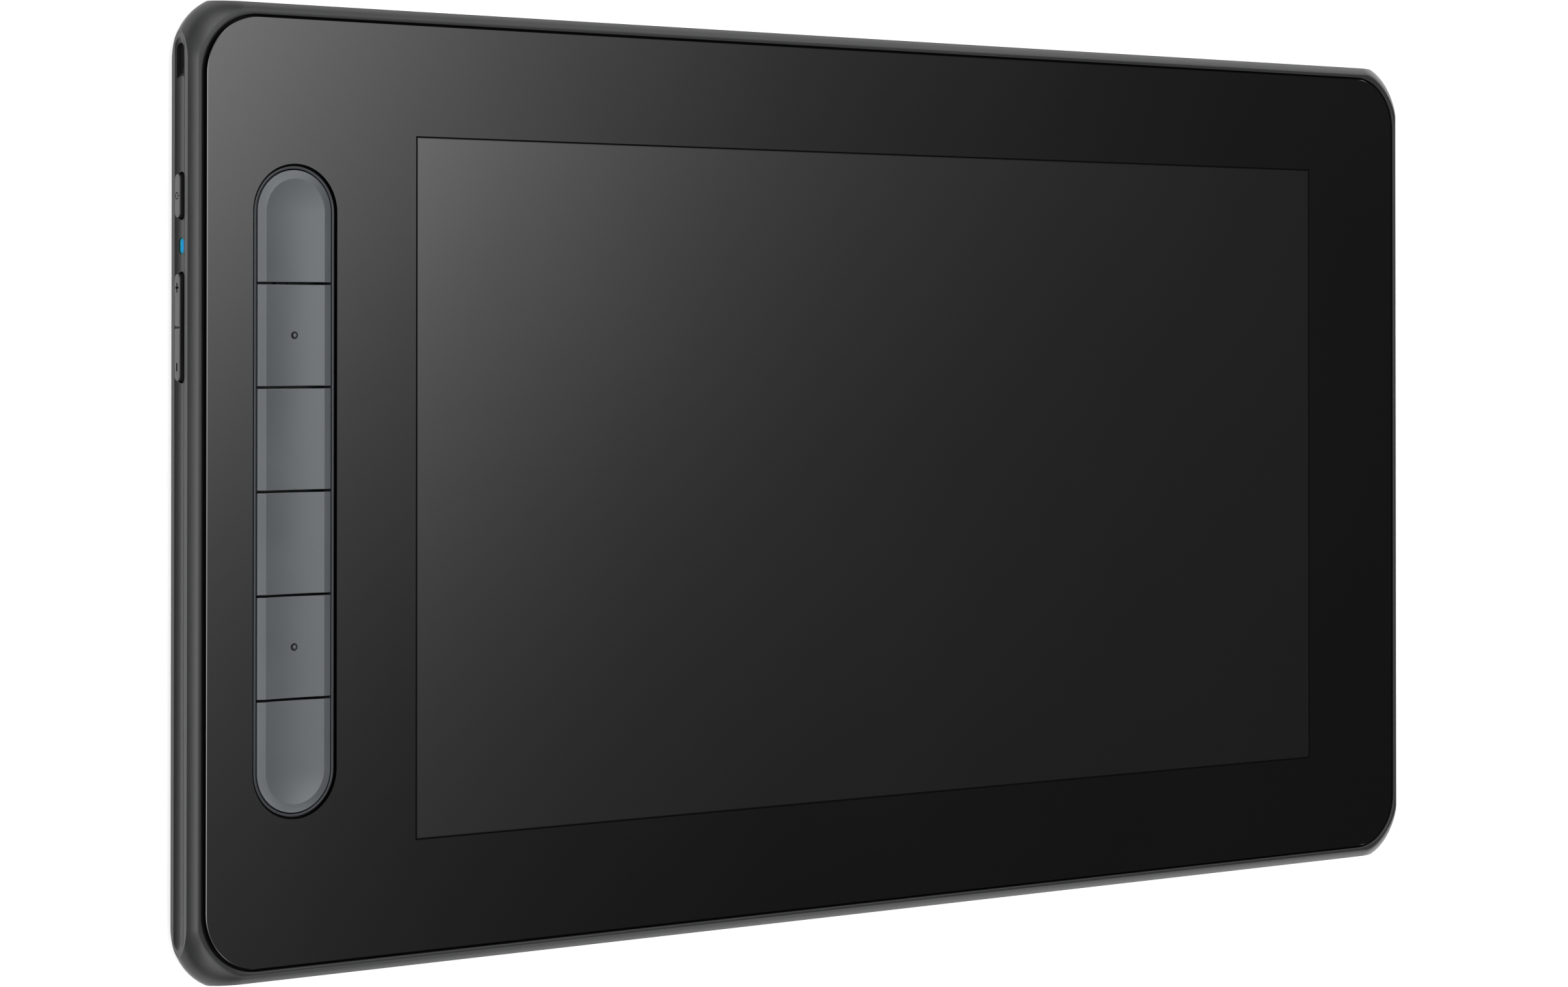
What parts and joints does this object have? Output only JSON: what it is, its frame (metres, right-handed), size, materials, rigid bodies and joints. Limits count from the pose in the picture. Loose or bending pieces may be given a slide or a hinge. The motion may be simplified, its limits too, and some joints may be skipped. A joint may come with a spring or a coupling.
{
  "type": "graphics tablet with screen",
  "caption": "Thin slab pen display: full-width glass over a widescreen panel, pill-shaped bank of keys beside it, side power button, light and brightness rocker.",
  "frame": {"origin": "under the middle of the slab, on the surface that its four feet stand on", "axes": "+X to the right along the long side of the screen, +Y up the screen, +Z out of the glass"},
  "size_m": [0.2986, 0.172, 0.0096],
  "materials": {
    "shell": "satin, fine grain",
    "back": "matte, fine grain",
    "feet": "matte",
    "glass": "polished black glass, printed behind",
    "adhesive": "foam tape",
    "clear_adhesive": "clear",
    "lcd": "polished",
    "guide": "clear",
    "board": "solder mask",
    "sheet_metal": "rolled sheet",
    "trim": "satin",
    "key": "satin, fine grain",
    "side_key": "satin",
    "switch": "moulded",
    "steel": "plain",
    "light": "tinted, clear",
    "led": "clear",
    "chip": "moulded epoxy",
    "connector": "moulded",
    "flat_cable": "polyimide film"
  },
  "bodies": {
    "housing": {"middle_frame": "shell", "rear_cover": "back", "rubber_feet": "feet", "cover_glass": "glass", "glass_gasket": "adhesive", "display_adhesive": "clear_adhesive", "lcd_cell": "lcd", "light_guide": "guide", "backlight_strip": "board", "display_tray": "sheet_metal", "pen_sensor_board": "board", "shield_plate": "sheet_metal", "key_trim_ring": "trim", "key_board": "board", "key_switches": "switch", "rocker_pin": "steel", "status_light_pipe": "light", "status_led": "led", "side_board": "board", "side_switches": "switch", "main_board": "board", "board_chips": "chip", "board_connectors": "connector", "display_ribbon": "flat_cable", "sensor_ribbon": "flat_cable", "key_ribbon": "flat_cable", "side_ribbon": "flat_cable", "case_screws": "steel", "board_screws": "steel", "usb_c_socket_lower": "steel", "usb_c_socket_upper": "steel"},
    "key_1": {"express_key_1": "key"},
    "key_2": {"express_key_2": "key"},
    "key_3": {"express_key_3": "key"},
    "key_4": {"express_key_4": "key"},
    "key_5": {"express_key_5": "key"},
    "key_6": {"express_key_6": "key"},
    "power": {"power_button": "side_key"},
    "rocker": {"brightness_rocker": "side_key"}
  },
  "joints": [
    {"name": "key_1_press", "type": "slide", "parent": "housing", "child": "key_1", "axis": [0, 0, -1], "range_m": [0, 0.0005], "stiffness_N_per_m": 800, "springref_m": -0.0003},
    {"name": "key_2_press", "type": "slide", "parent": "housing", "child": "key_2", "axis": [0, 0, -1], "range_m": [0, 0.0005], "stiffness_N_per_m": 800, "springref_m": -0.0003},
    {"name": "key_3_press", "type": "slide", "parent": "housing", "child": "key_3", "axis": [0, 0, -1], "range_m": [0, 0.0005], "stiffness_N_per_m": 800, "springref_m": -0.0003},
    {"name": "key_4_press", "type": "slide", "parent": "housing", "child": "key_4", "axis": [0, 0, -1], "range_m": [0, 0.0005], "stiffness_N_per_m": 800, "springref_m": -0.0003},
    {"name": "key_5_press", "type": "slide", "parent": "housing", "child": "key_5", "axis": [0, 0, -1], "range_m": [0, 0.0005], "stiffness_N_per_m": 800, "springref_m": -0.0003},
    {"name": "key_6_press", "type": "slide", "parent": "housing", "child": "key_6", "axis": [0, 0, -1], "range_m": [0, 0.0005], "stiffness_N_per_m": 800, "springref_m": -0.0003},
    {"name": "power_press", "type": "slide", "parent": "housing", "child": "power", "axis": [1, 0, 0], "range_m": [0, 0.0003], "stiffness_N_per_m": 2000, "springref_m": -0.0002},
    {"name": "brightness_rock", "type": "hinge", "parent": "housing", "child": "rocker", "pos_m": [-0.1459, 0.0288, 0.00511], "axis": [0, 0, 1], "range_deg": [-1.5, 1.5], "stiffness_Nm_per_rad": 0.3}
  ]
}
